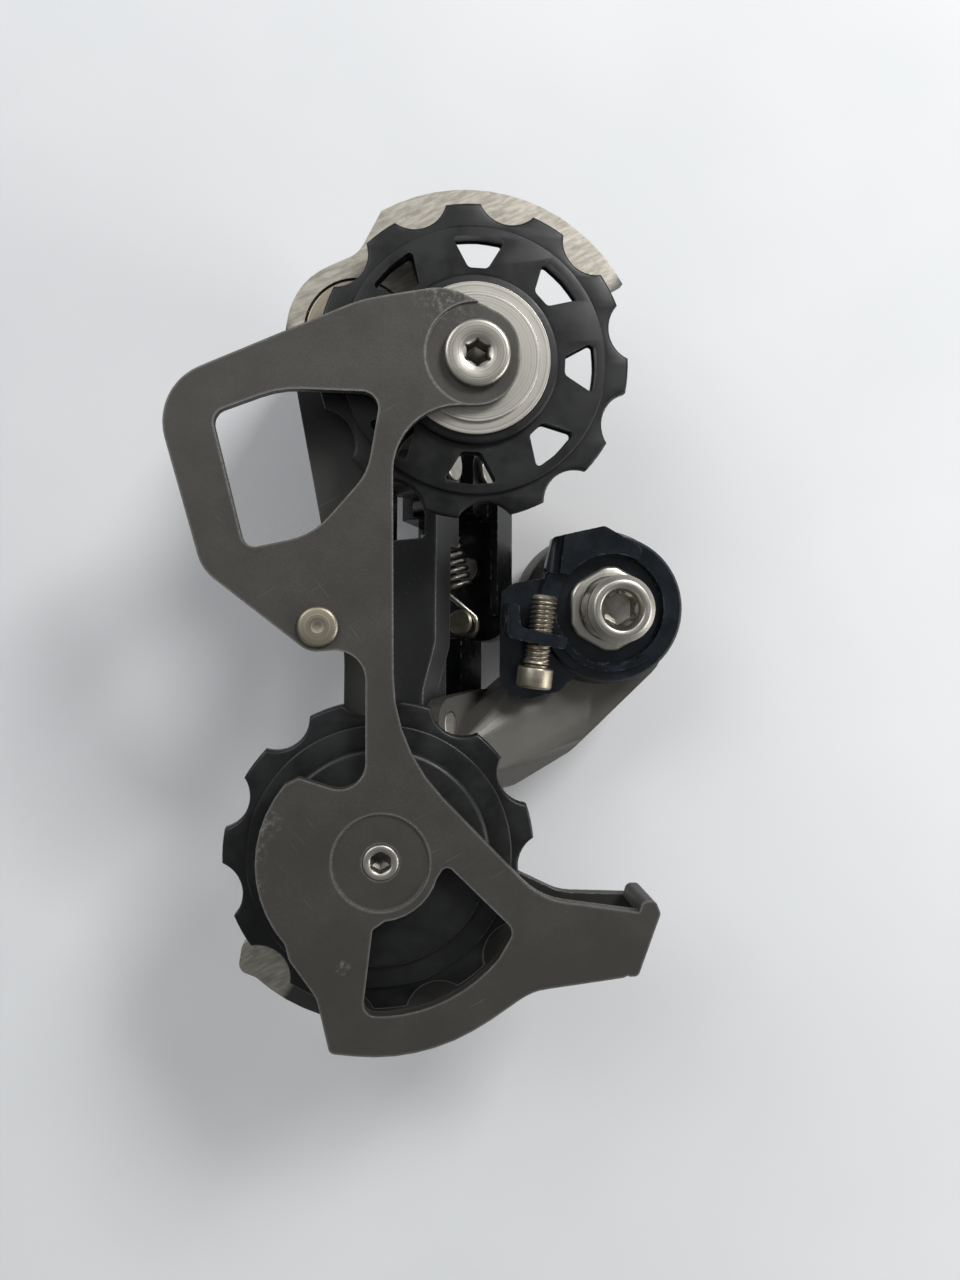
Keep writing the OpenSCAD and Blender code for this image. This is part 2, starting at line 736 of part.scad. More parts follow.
module outer_plate() {
    color("silver") difference() {
        translate([0, 0, outer_z]) linear_extrude(plate_t) polygon(outline(outer_corners));
        at(axle_at) cylinder(r = axle_neck_r, h = through, center = true);
        at(axle_at, outer_top - flange_t) cylinder(r = flange_r + 0.2, h = 10);
        at(guide_at) cylinder(r = pulley_bolt_r, h = through, center = true);
        at(tension_at) cylinder(r = pulley_bolt_r, h = through, center = true);
        at(axle_at) rotate([0, 0, stop_pin_angle]) at([stop_pin_at, 0]) cylinder(r = stop_pin_r, h = 20);
    }
}

module cage_stop_pin() {
    color("silver") at(axle_at) rotate([0, 0, stop_pin_angle]) at([stop_pin_at, 0])
        disc(stop_pin_r, stop_pin_bottom, outer_top, 0.1);
}

// A corner on a circle round the tension bolt, at radius r and angle a, rounded with radius round_r
function rim_corner(r, a, round_r) =
    [tension_at.x + r * cos(a), tension_at.y + r * sin(a), round_r];

module lower_window() {
    polygon(outline([
        rim_corner(lower_window_out, -97, 1.7),
        for (a = [-88:6:-37]) rim_corner(lower_window_out, a, 0),
        rim_corner(lower_window_out - 0.3, -28, 1.7),
        rim_corner(lower_window_in + 0.9, -2, 0.9),
        for (a = [-16:-10:-86]) rim_corner(lower_window_in, a, 0),
        rim_corner(lower_window_in + 1.2, -97, 0.5)]));
}

module inner_plate() {
    color("dimgray") difference() {
        union() {
            translate([0, 0, inner_z]) linear_extrude(plate_t) difference() {
                polygon(outline(inner_corners));
                polygon(outline(upper_window));
                lower_window();
            }
            translate([0, 0, outer_top]) linear_extrude(cage_gap + plate_t) polygon(outline(tail_tab));
        }
        at(guide_at, inner_z + plate_t - recess) cylinder(r = guide_recess_r, h = 3);
        at(tension_at, inner_z + plate_t - recess) cylinder(r = tension_recess_r, h = 3);
        at(guide_at) cylinder(r = pulley_bolt_r, h = through, center = true);
        at(tension_at) cylinder(r = pulley_bolt_r, h = through, center = true);
        at(guard_pin_at) cylinder(r = guard_pin_r, h = through, center = true);
    }
}

module chain_guard_pin() {
    color("tan") at(guard_pin_at) {
        disc(guard_pin_r, guard_pin_bottom, inner_z + plate_t);
        disc(guard_pin_body_r, guard_pin_bottom, inner_z, 0.4);
        disc(guard_pin_head_r, inner_z + plate_t, inner_z + plate_t + guard_pin_head_t, 0.4);
    }
}

// Pulley bolt put in from the wheel side, its head in the inner plate's recess
module guide_bolt() {
    top = inner_z + plate_t - recess;
    color("silver") at(guide_at) difference() {
        union() {
            disc(pulley_bolt_r, outer_z, top, 0.3);
            disc(guide_head_r, top, top + guide_head_t, 0.4);
        }
        translate([0, 0, top - guide_socket]) hex_socket(pulley_key, guide_socket + 2);
    }
}

// Pulley bolt put in from the far side, so that only its threaded end shows in the inner plate
module tension_bolt() {
    top = inner_z + plate_t - recess;
    bottom = outer_z - tension_head_t;
    color("silver") at(tension_at) difference() {
        union() {
            disc(pulley_bolt_r, outer_z, top + 0.3, 0.3);
            disc(tension_head_r, bottom, outer_z, 0.4);
        }
        translate([0, 0, top - 2.5]) hex_socket(tension_end_socket, 6);
        translate([0, 0, bottom - cut]) hex_socket(pulley_key, 2 + cut);
    }
}

module sleeve(place) {
    color("gainsboro") at(place) ring(sleeve_r, pulley_bolt_r, outer_top, inner_z);
}

module guide_sleeve() { sleeve(guide_at); }

module tension_sleeve() { sleeve(tension_at); }

// Stepped dust caps on both sides of a pulley
module caps(place, r, step_r) {
    low = hub_half + cap_play;
    high = low + cap_t;
    at(place, pulley_z) for (m = [0, 1]) mirror([0, 0, m]) rotate_extrude()
        polygon([[sleeve_r, low], [r, low], [r, high], [step_r, high], [step_r, cage_gap / 2],
            [sleeve_r, cage_gap / 2]]);
}

module guide_caps() { color("lightgray") caps(guide_at, cap_r, cap_step_r); }

module tension_caps() { color("dimgray") caps(tension_at, tension_cap_r, tension_cap_r - 1.5); }

// Toothed rim of a pulley, turned so that one tooth points to the given angle
module toothed_rim(angle) {
    rotate([0, 0, angle]) difference() {
        disc(tip_r, -tooth_t / 2, tooth_t / 2, tooth_bevel);
        for (k = [0:teeth - 1]) rotate([0, 0, (k + 0.5) * 360 / teeth]) at([valley_at, 0])
            cylinder(r = valley_r, h = 2 * hub_half, center = true, $fn = 48);
    }
}

module guide_window() {
    points = [[12.2, 1.5, 1.1], [16.8, 4.2, 0.8], [17.4, 0, 14], [16.8, -4.2, 0.8], [12.2, -1.5, 1.1]];
    linear_extrude(4 * hub_half, center = true) polygon(outline(points));
}

// Cutters for one round groove, given as inner and outer radius, in both faces at the given height
module grooves(radii, face) {
    for (m = [0, 1]) mirror([0, 0, m]) translate([0, 0, face - groove_depth])
        ring(radii[1], radii[0], 0, cut);
}

module guide_pulley() {
    color("black") at(guide_at, pulley_z) difference() {
        union() {
            toothed_rim(guide_tooth_angle);
            disc(web_r, -rim_t / 2, rim_t / 2, 0.4);
            disc(guide_hub_r, -hub_half, hub_half, 0.6);
        }
        grooves(guide_groove, rim_t / 2);
        for (k = [0:windows - 1]) rotate([0, 0, guide_window_angle + k * 360 / windows]) guide_window();
        cylinder(r = bush_r, h = through, center = true);
    }
}

module tension_pulley() {
    color("black") at(tension_at, pulley_z) difference() {
        union() {
            toothed_rim(tension_tooth_angle);
            disc(web_r, -rim_t / 2, rim_t / 2, 0.4);
            disc(tension_face_r, -hub_half, hub_half, 0.8);
        }
        grooves(tension_groove, hub_half);
        cylinder(r = bush_r, h = through, center = true);
    }
}

module pulley_bush(place) {
    color("gainsboro") at(place, pulley_z) ring(bush_r, sleeve_r + running, -hub_half, hub_half, 0.2);
}

module guide_bush() { pulley_bush(guide_at); }

module tension_bush() { pulley_bush(tension_at); }

hanger_bolt();
hanger_washer();
stopper_plate();
b_tension_screw();
b_knuckle();
b_bushes();
b_spring();
b_link_pins();
high_limit_screw();
low_limit_screw();
barrel_adjuster();
outer_link();
inner_link();
return_spring();
spring_post();
cable_anchor_bolt();
cable_clamp_washer();
p_knuckle();
p_bushes();
p_spring();
p_link_pins();
p_cap();
p_seal();
plate_axle();
axle_screw();
outer_plate();
inner_plate();
cage_stop_pin();
chain_guard_pin();
guide_bolt();
guide_sleeve();
guide_caps();
guide_pulley();
guide_bush();
tension_bolt();
tension_sleeve();
tension_caps();
tension_pulley();
tension_bush();
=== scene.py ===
"""Rear bicycle derailleur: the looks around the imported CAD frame.

Lengths are in metres unless a name says mm.
"""

import json
import math

import bmesh
import bpy
from mathutils import Euler, Matrix, Vector
from mathutils.geometry import tessellate_polygon


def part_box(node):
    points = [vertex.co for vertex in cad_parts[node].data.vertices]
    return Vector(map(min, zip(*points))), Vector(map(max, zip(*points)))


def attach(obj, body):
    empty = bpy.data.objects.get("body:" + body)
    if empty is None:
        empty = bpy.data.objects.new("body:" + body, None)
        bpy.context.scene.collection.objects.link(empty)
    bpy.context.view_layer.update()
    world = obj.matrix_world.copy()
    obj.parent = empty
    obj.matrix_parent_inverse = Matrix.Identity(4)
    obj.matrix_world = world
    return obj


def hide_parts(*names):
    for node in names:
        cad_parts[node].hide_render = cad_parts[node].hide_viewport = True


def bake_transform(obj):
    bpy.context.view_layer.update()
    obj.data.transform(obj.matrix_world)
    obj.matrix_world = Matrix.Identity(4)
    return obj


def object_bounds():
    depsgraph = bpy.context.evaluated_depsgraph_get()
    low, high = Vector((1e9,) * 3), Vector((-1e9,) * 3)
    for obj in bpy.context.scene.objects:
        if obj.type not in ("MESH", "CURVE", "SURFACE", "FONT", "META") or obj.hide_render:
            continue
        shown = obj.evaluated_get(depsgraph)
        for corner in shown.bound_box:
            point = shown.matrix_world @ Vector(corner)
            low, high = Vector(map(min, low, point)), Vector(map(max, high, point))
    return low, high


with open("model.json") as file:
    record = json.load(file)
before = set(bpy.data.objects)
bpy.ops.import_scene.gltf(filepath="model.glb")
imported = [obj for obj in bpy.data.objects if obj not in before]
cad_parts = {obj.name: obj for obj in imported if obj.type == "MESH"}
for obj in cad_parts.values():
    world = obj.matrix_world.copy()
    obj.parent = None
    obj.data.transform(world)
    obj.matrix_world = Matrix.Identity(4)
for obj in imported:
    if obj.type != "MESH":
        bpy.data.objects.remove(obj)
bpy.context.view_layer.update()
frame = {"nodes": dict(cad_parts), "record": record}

MM = 0.001
NODES = frame["nodes"]
RECORD = frame["record"]
SLOT_OF = {part["node"]: part["material_slot"] for part in RECORD["subparts"]}
BODY_OF = {node: body for body, members in RECORD["behaviour"]["bodies"].items() for node in members}
JOINTS = {joint["name"]: joint for joint in RECORD["behaviour"]["joints"]}


# ---------- Materials ----------

class Shader:
    """A Principled material, with short calls that add its nodes and join them."""

    def __init__(self, name, roughness, metallic):
        self.material = bpy.data.materials.new(name)
        self.material.use_nodes = True
        tree = self.material.node_tree
        self.nodes, self.links = tree.nodes, tree.links
        self.bsdf = self.nodes["Principled BSDF"]
        self.bsdf.inputs["Roughness"].default_value = roughness
        self.bsdf.inputs["Metallic"].default_value = metallic
        self.place = self.nodes.new("ShaderNodeTexCoord").outputs["Object"]

    def join(self, source, target):
        """Links an output to an input, or sets the input to a number or a colour."""
        if hasattr(source, "links"):
            self.links.new(source, target)
        elif isinstance(source, (tuple, list, Vector)):
            target.default_value = tuple(source) if len(target.default_value) == len(source) else (*source, 1)
        else:
            target.default_value = source

    def math(self, operation, a, b=0.0):
        """One Math node."""
        node = self.nodes.new("ShaderNodeMath")
        node.operation = operation
        self.join(a, node.inputs[0])
        self.join(b, node.inputs[1])
        return node.outputs[0]

    def noise(self, size_mm, detail=3.0, rough=0.5, stretch=(1, 1, 1), turn=0.0):
        """Noise with features about size_mm across, stretched along the axes, turned about Z by degrees."""
        mapping = self.nodes.new("ShaderNodeMapping")
        mapping.vector_type = "TEXTURE"
        mapping.inputs["Scale"].default_value = stretch
        mapping.inputs["Rotation"].default_value = (0, 0, math.radians(turn))
        self.links.new(self.place, mapping.inputs["Vector"])
        node = self.nodes.new("ShaderNodeTexNoise")
        node.inputs["Scale"].default_value = 1 / (size_mm * MM)
        node.inputs["Detail"].default_value = detail
        node.inputs["Roughness"].default_value = rough
        self.links.new(mapping.outputs[0], node.inputs["Vector"])
        return node.outputs["Fac"]

    def span(self, value, low, high, out_low=0.0, out_high=1.0):
        """Takes low..high of a value to out_low..out_high, and holds it there outside."""
        node = self.nodes.new("ShaderNodeMapRange")
        node.interpolation_type = "SMOOTHSTEP"
        self.join(value, node.inputs["Value"])
        limits = {"From Min": low, "From Max": high, "To Min": out_low, "To Max": out_high}
        for name, number in limits.items():
            node.inputs[name].default_value = number
        return node.outputs["Result"]

    def mix(self, share, a, b):
        """The colour a where share is 0, and b where it is 1."""
        node = self.nodes.new("ShaderNodeMix")
        node.data_type = "RGBA"
        self.join(share, node.inputs["Factor"])
        self.join(a, node.inputs["A"] if node.inputs["A"].type == "RGBA" else node.inputs[6])
        self.join(b, node.inputs["B"] if node.inputs["B"].type == "RGBA" else node.inputs[7])
        return node.outputs[2]

    def edges(self, radius_mm, low=0.02, high=0.25):
        """1 along sharp edges, fading over radius_mm."""
        bevel = self.nodes.new("ShaderNodeBevel")
        bevel.samples = 4
        bevel.inputs["Radius"].default_value = radius_mm * MM
        shape = self.nodes.new("ShaderNodeNewGeometry")
        dot = self.nodes.new("ShaderNodeVectorMath")
        dot.operation = "DOT_PRODUCT"
        self.links.new(bevel.outputs[0], dot.inputs[0])
        self.links.new(shape.outputs["Normal"], dot.inputs[1])
        return self.span(self.math("SUBTRACT", 1.0, dot.outputs["Value"]), low, high)

    def near(self, centre_mm, radius_mm, soft_mm):
        """1 within radius_mm of a point of the frame, fading out over soft_mm."""
        gap = self.nodes.new("ShaderNodeVectorMath")
        gap.operation = "DISTANCE"
        self.links.new(self.place, gap.inputs[0])
        gap.inputs[1].default_value = [c * MM for c in centre_mm]
        return self.span(gap.outputs["Value"], radius_mm * MM, (radius_mm + soft_mm) * MM, 1.0, 0.0)

    def rings(self, size_mm):
        """Noise that runs in rings round the piece's own Z axis."""
        parts = self.nodes.new("ShaderNodeSeparateXYZ")
        self.links.new(self.place, parts.inputs[0])
        squares = [self.math("MULTIPLY", parts.outputs[i], parts.outputs[i]) for i in (0, 1)]
        radius = self.math("SQRT", self.math("ADD", *squares))
        point = self.nodes.new("ShaderNodeCombineXYZ")
        self.links.new(radius, point.inputs[0])
        self.links.new(parts.outputs[2], point.inputs[1])
        node = self.nodes.new("ShaderNodeTexNoise")
        node.inputs["Scale"].default_value = 1 / (size_mm * MM)
        self.links.new(point.outputs[0], node.inputs["Vector"])
        return node.outputs["Fac"]

    def occlusion(self, distance_mm, low=0.25, high=0.8):
        """0 deep in a hole or corner of the piece, 1 in the open."""
        node = self.nodes.new("ShaderNodeAmbientOcclusion")
        node.samples = 8
        node.only_local = True
        node.inputs["Distance"].default_value = distance_mm * MM
        return self.span(node.outputs["AO"], low, high)

    def bump(self, height, depth_mm):
        """Adds relief on top of any relief that is there already."""
        node = self.nodes.new("ShaderNodeBump")
        node.inputs["Strength"].default_value = 1.0
        node.inputs["Distance"].default_value = depth_mm * MM
        self.links.new(height, node.inputs["Height"])
        before = self.bsdf.inputs["Normal"]
        if before.is_linked:
            self.links.new(before.links[0].from_socket, node.inputs["Normal"])
        self.links.new(node.outputs[0], before)

    def finish(self, colour, roughness=None, metallic=None):
        """Joins the last values to the material, and returns it."""
        self.join(colour, self.bsdf.inputs["Base Color"])
        if roughness is not None:
            self.join(roughness, self.bsdf.inputs["Roughness"])
        if metallic is not None:
            self.join(metallic, self.bsdf.inputs["Metallic"])
        return self.material


def grey(value, warm=0.0):
    """A near-neutral colour: warm above 0 leans to yellow, below 0 to blue."""
    return (value * (1 + 0.10 * warm), value * (1 + 0.02 * warm), value * (1 - 0.14 * warm))


def scratches(shader, turn, size_mm, low=0.7, high=0.76):
    """A few thin straight marks that run one way, in scattered groups."""
    lines = shader.span(shader.noise(size_mm, 1.0, 0.5, (45, 1, 1), turn), low, high)
    return shader.math("MULTIPLY", lines, shader.span(shader.noise(7, 2.0), 0.52, 0.66))


def satin_coat(name, base, worn, wear=0.5, spots=(), edge_mm=0.35, bare=(), rim=0.0):
    """Satin coat over bare metal, rubbed through on edges, in scratches and at spots.

    The coat is missing in each bare zone: a point in mm, a radius and a fade in mm.
    Rim is the strength of a painted highlight: an even bright line along the edges.
    """
    s = Shader(name, 0.42, 0.45)
    cloud = s.noise(9, 4.0, 0.6)
    grain = s.noise(0.18, 2.0, 0.5)
    body = s.mix(s.span(cloud, 0.35, 0.7), [c * 0.9 for c in base], [c * 1.12 for c in base])
    body = s.mix(s.span(grain, 0.3, 0.8), [c * 0.92 for c in base], body)
    patchy = s.span(s.noise(1.3, 4.0, 0.65), 0.4, 0.66)
    bare_share = s.math("MULTIPLY", s.edges(edge_mm), s.math("MULTIPLY", patchy, wear))
    # Painted highlight: an even bright line in the bare metal's colour along all the edges, as strong as rim.
    bare_share = s.math("MAXIMUM", bare_share, s.math("MULTIPLY", s.edges(0.6, 0.01, 0.16), rim))
    for angle in (28, -52):
        bare_share = s.math("MAXIMUM", bare_share, s.math("MULTIPLY", scratches(s, angle, 0.3), 0.16 * wear))
    for centre, radius, soft, strength in spots:
        mottle = s.math("MULTIPLY", s.near(centre, radius, soft), s.span(s.noise(0.7, 4.0, 0.7), 0.46, 0.66))
        bare_share = s.math("MAXIMUM", bare_share, s.math("MULTIPLY", mottle, strength))
    # Bare zones drop the coat. On the outer plate they are where it is lit, and the dark coat around them is
    # painted shade.
    for centre, radius, soft in bare:
        bare_share = s.math("MAXIMUM", bare_share, s.math("MULTIPLY", s.near(centre, radius, soft), 0.95))
    s.bump(grain, 0.012)
    s.bump(cloud, 0.05)
    s.bump(bare_share, -0.02)
    metal = s.mix(s.span(s.noise(0.5, 4.0, 0.6, (5, 1, 1), 25), 0.3, 0.7), [c * 0.62 for c in worn], worn)
    metal = s.mix(s.span(s.noise(2.6, 4.0, 0.65), 0.5, 0.7, 0.0, 0.55), metal, [c * 0.45 for c in worn])
    rough = s.math("ADD", s.math("MULTIPLY", grain, 0.4), s.math("MULTIPLY", cloud, 0.6))
    colour = s.mix(bare_share, body, metal)
    return s.finish(colour, s.span(rough, 0.3, 0.7, 0.38, 0.54), s.span(bare_share, 0.0, 1.0, 0.45, 0.9))


def turned_metal(name, base, roughness=0.3, marks=0.35, dirt=0.35):
    """Bare turned metal: fine rings round the piece's own Z axis, a few marks, patchy dirt, and painted shade
    deep in its holes and corners.
    """
    s = Shader(name, roughness, 1.0)
    lines = s.rings(0.16)
    cloud = s.noise(3, 4.0, 0.6)
    body = s.mix(s.span(lines, 0.3, 0.7), [c * 0.86 for c in base], [min(1, c * 1.08) for c in base])
    soil = s.math("MULTIPLY", s.span(cloud, 0.48, 0.72), dirt)
    body = s.mix(soil, body, [c * 0.35 for c in base])
    body = s.mix(s.math("MULTIPLY", scratches(s, 35, 0.3), marks), body, [min(1, c * 1.3) for c in base])
    # Painted shade: deep in holes and corners the colour drops to near black and the metal turns less
    # metallic.
    unshaded = s.occlusion(2.5)
    body = s.mix(unshaded, [c * 0.07 for c in base], body)
    s.bump(lines, 0.008)
    s.bump(cloud, 0.01)
    fine = s.span(lines, 0.2, 0.8, roughness - 0.05, roughness + 0.08)
    rough = s.math("ADD", fine, s.math("MULTIPLY", soil, 0.4))
    return s.finish(body, rough, s.span(unshaded, 0.0, 1.0, 0.5, 1.0))


def moulded(name, base, roughness=0.38, grain_mm=0.12, dust=0.2):
    """Moulded plastic or rubber with a fine grain, soft tone changes, a little dust and scuffed edges."""
    s = Shader(name, roughness, 0.0)
    s.bsdf.inputs["Specular IOR Level"].default_value = 0.3
    cloud = s.noise(6, 4.0, 0.6)
    grain = s.noise(grain_mm, 2.0, 0.5)
    body = s.mix(s.span(cloud, 0.35, 0.7), [c * 0.7 for c in base], [c * 1.5 for c in base])
    haze = s.math("MULTIPLY", s.span(s.noise(2.2, 5.0, 0.7), 0.5, 0.75), dust)
    scuff = s.math("MULTIPLY", s.edges(0.25), s.span(s.noise(1.6, 4.0, 0.6), 0.45, 0.7, 0.0, 0.5))
    body = s.mix(s.math("MAXIMUM", haze, scuff), body, [c * 2.6 + 0.02 for c in base])
    s.bump(grain, 0.01)
    s.bump(cloud, 0.03)
    return s.finish(body, s.span(cloud, 0.3, 0.7, roughness - 0.07, roughness + 0.09))


def gloss_paint(name, base, bare=(0.3, 0.31, 0.33), wear=0.4):
    """Dark gloss coat, worn to bare metal in places along its edges."""
    s = Shader(name, 0.28, 0.1)
    s.bsdf.inputs["Specular IOR Level"].default_value = 0.3
    s.bsdf.inputs["Coat Weight"].default_value = 0.15
    s.bsdf.inputs["Coat Roughness"].default_value = 0.15
    cloud = s.noise(5, 4.0, 0.6)
    body = s.mix(s.span(cloud, 0.35, 0.7), [c * 0.7 for c in base], [c * 1.5 for c in base])
    bare_share = s.math("MULTIPLY", s.edges(0.3), s.span(s.noise(1.0, 4.0, 0.65), 0.48, 0.68, 0.0, wear))
    s.bump(s.noise(0.6, 3.0, 0.5), 0.012)
    return s.finish(s.mix(bare_share, body, bare), s.span(cloud, 0.3, 0.7, 0.22, 0.38))


# Rubbed places on the inner plate: centre and radius in mm, fade in mm, strength
PLATE_WEAR = (
    ((-26, 42.5, 18), 1.0, 5, 0.3),
    ((-50.5, -28, 18), 0.8, 2.4, 0.35),
    ((-52, -32, 18), 0.6, 2.2, 0.35),
    ((-52.4, -37, 18), 0.6, 2.2, 0.3),
    ((-51, -43, 18), 0.6, 2.0, 0.3),
    ((-40, -48, 18), 0.4, 1.0, 0.4),
)

# Zones of the outer plate that keep their bright bare silver: centre, radius and fade in mm. Around them the
# plate's dark coat is painted shade.
LIT_SILVER_ZONES = (
    ((-22, 58, 8), 15, 2.5),
    ((-10, 52, 8), 9, 2.5),
    ((-40, 45, 8), 8, 3),
    ((-55, -49.5, 8), 7.5, 1.5),
)

MATERIALS = {
    # plate_dark and link_grey get a painted highlight along their edges, set by rim.
    "plate_dark": satin_coat(
        "plate_dark", grey(0.052, 0.7), grey(0.42, 0.4), 0.75, PLATE_WEAR, 0.45, rim=0.55),
    # plate_silver: a dark coat over silver, bare in the lit silver zones. The dark coat is painted shade
    # where the plate lies in shade.
    "plate_silver": satin_coat("plate_silver", grey(0.035, 0.4), grey(0.40, 0.9), 0.8, bare=LIT_SILVER_ZONES),
    "knuckle_grey": satin_coat("knuckle_grey", grey(0.075, 0.7), grey(0.42, 0.3), 0.35),
    "link_grey": satin_coat("link_grey", grey(0.042, -0.1), grey(0.5, 0.0), 0.9, edge_mm=0.6, rim=0.35),
    # link_black: a gloss coat made near black so that it paints the deep shade inside the outer link's
    # channel.
    "link_black": gloss_paint("link_black", (0.004, 0.0045, 0.005), (0.4, 0.4, 0.38), 0.9),
    "stopper_black": gloss_paint("stopper_black", (0.0035, 0.006, 0.009), (0.2, 0.22, 0.25), 0.6),
    "bolt_steel": turned_metal("bolt_steel", grey(0.38, 0.7), 0.34, dirt=0.4),
    "screw_steel": turned_metal("screw_steel", grey(0.28, 1.4), 0.36),
    "axle_steel": turned_metal("axle_steel", grey(0.25, 1.5), 0.42),
    "cap_steel": turned_metal("cap_steel", grey(0.42, 0.6), 0.38, dirt=0.2),
    "spring_steel": turned_metal("spring_steel", grey(0.36, 0.8), 0.3),
    "pulley_resin": moulded("pulley_resin", (0.0052, 0.0054, 0.0056), dust=0.12),
    "black_plastic": moulded("black_plastic", (0.008, 0.008, 0.008)),
    "seal_rubber": moulded("seal_rubber", (0.008, 0.008, 0.008), 0.6),
    "bush_metal": turned_metal("bush_metal", grey(0.4, 0.3), 0.34),
}


# ---------- Pieces ----------

def place_piece(mesh, node, matrix=None):
    """Makes a piece that stands for a CAD node: same body, same slot, its material."""
    piece = bpy.data.objects.new(node + "_finished", mesh)
    bpy.context.scene.collection.objects.link(piece)
    if matrix:
        piece.matrix_world = matrix
    mesh.materials.clear()
    mesh.materials.append(MATERIALS[SLOT_OF[node]])
    bpy.context.view_layer.update()
    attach(piece, BODY_OF[node])
    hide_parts(node)
    return piece


def apply_modifiers(piece):
    """Turns a piece's modifiers into its own mesh."""
    depsgraph = bpy.context.evaluated_depsgraph_get()
    mesh = bpy.data.meshes.new_from_object(piece.evaluated_get(depsgraph))
    piece.modifiers.clear()
    piece.data = mesh


def middle_of(node):
    """The middle of a CAD node's box."""
    low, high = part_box(node)
    return (Vector(low) + Vector(high)) / 2


def heights_mm(node):
    """The lowest and highest Z of a CAD node, in mm."""
    low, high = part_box(node)
    return low[2] / MM, high[2] / MM


def onto_axis_of(node):
    """The sideways move that brings a piece made round the frame's Z axis onto its CAD node's own axis."""
    centre = middle_of(node)
    return Matrix.Translation((centre.x, centre.y, 0))


def smooth_copy(node, centre=Vector(), join_flat=True):
    """A copy of a CAD node's mesh round a centre, smooth shaded, with its flat faces joined on request."""
    mesh = NODES[node].data.copy()
    work = bmesh.new()
    work.from_mesh(mesh)
    bmesh.ops.translate(work, vec=-centre, verts=work.verts)
    bmesh.ops.remove_doubles(work, verts=work.verts, dist=0.002 * MM)
    if join_flat:
        bmesh.ops.dissolve_limit(work, angle_limit=math.radians(1), verts=work.verts, edges=work.edges)
    for face in work.faces:
        face.smooth = True
    work.to_mesh(mesh)
    work.free()
    return mesh


def rounded(node, width_mm, turned=False):
    """A piece from a CAD node, with its edges rounded. A turned one is centred on its own axis."""
    centre = middle_of(node) if turned else Vector()
    piece = place_piece(smooth_copy(node, centre), node, Matrix.Translation(centre))
    bevel = piece.modifiers.new("rounding", "BEVEL")
    bevel.width = width_mm * MM
    bevel.segments = 3
    bevel.limit_method = "ANGLE"
    bevel.angle_limit = math.radians(32)
    bevel.use_clamp_overlap = True
    flat = piece.modifiers.new("flat faces", "WEIGHTED_NORMAL")
    flat.weight = 100
    flat.keep_sharp = True
    apply_modifiers(piece)
    return piece


def make_return_spring():
    """A smooth-shaded copy of the return spring, left where the frame has it and not attached to any body."""
    piece = bpy.data.objects.new("return_spring_finished", smooth_copy("return_spring", join_flat=False))
    bpy.context.scene.collection.objects.link(piece)
    piece.data.materials.clear()
    piece.data.materials.append(MATERIALS[SLOT_OF["return_spring"]])
    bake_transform(piece)
    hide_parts("return_spring")


def circle(radius, count=96):
    """Points round a circle, anticlockwise."""
    angles = [i * math.tau / count for i in range(count)]
    return [(radius * math.cos(a), radius * math.sin(a)) for a in angles]


def rounded_outline(corners, step=math.radians(12)):
    """Points of an outline given as (x, y, corner radius)."""
    points = []
    for i, (x, y, radius) in enumerate(corners):
        here = Vector((x, y))
        before = (Vector(corners[i - 1][:2]) - here).normalized()
        after = (Vector(corners[(i + 1) % len(corners)][:2]) - here).normalized()
        half = before.angle(after) / 2
        centre = here + (before + after).normalized() * radius / math.sin(half)
        start = here + before * radius / math.tan(half) - centre
        turn = start.angle_signed(here + after * radius / math.tan(half) - centre)
        steps = max(1, math.ceil(abs(turn) / step))
        points += [tuple(centre + Matrix.Rotation(-turn * k / steps, 2) @ start) for k in range(steps + 1)]
    return points


def turned_by(points, angle):
    """Points turned about the origin, anticlockwise."""
    c, s = math.cos(angle), math.sin(angle)
    return [(x * c - y * s, x * s + y * c) for x, y in points]


def shrunk(points, amount):
    """A closed outline moved to its left: inwards when it runs anticlockwise, outwards when clockwise."""
    moved = []
    for i, point in enumerate(points):
        here = Vector(point)
        ahead = (Vector(points[(i + 1) % len(points)]) - here).normalized()
        behind = (here - Vector(points[i - 1])).normalized()
        left = Vector((-(ahead.y + behind.y), ahead.x + behind.x)).normalized()
        moved.append(here + left * amount / max(0.5, left.dot(Vector((-ahead.y, ahead.x)))))
    return moved


def layer(outer, holes, half, bevel, steps=3):
    """A flat layer in mm round z = 0 as a closed mesh, with holes and with rounded edges."""
    arc = [math.radians(90 * k / steps) for k in range(steps + 1)]
    levels = [(-half + bevel * (1 - math.sin(a)), bevel * (1 - math.cos(a))) for a in arc[::-1]]
    levels = sorted([(z, inset) for z, inset in levels] + [(-z, inset) for z, inset in levels])
    outlines = [list(outer)] + [list(hole)[::-1] for hole in holes]
    work = bmesh.new()
    caps = {0: [], len(levels) - 1: []}
    for points in outlines:
        loops = []
        for z, inset in levels:
            loops.append([work.verts.new((x * MM, y * MM, z * MM)) for x, y in shrunk(points, inset)])
        for below, above in zip(loops, loops[1:]):
            for i in range(len(points)):
                j = (i + 1) % len(points)
                work.faces.new((below[i], below[j], above[j], above[i]))
        for k in caps:
            caps[k].append(loops[k])
    for k, loops in caps.items():
        flat = [vert for loop in loops for vert in loop]
        for corner in tessellate_polygon([[vert.co for vert in loop] for loop in loops]):
            work.faces.new([flat[i] for i in corner])
    bmesh.ops.recalc_face_normals(work, faces=work.faces)
    mesh = bpy.data.meshes.new("layer")
    work.to_mesh(mesh)
    work.free()
    return mesh


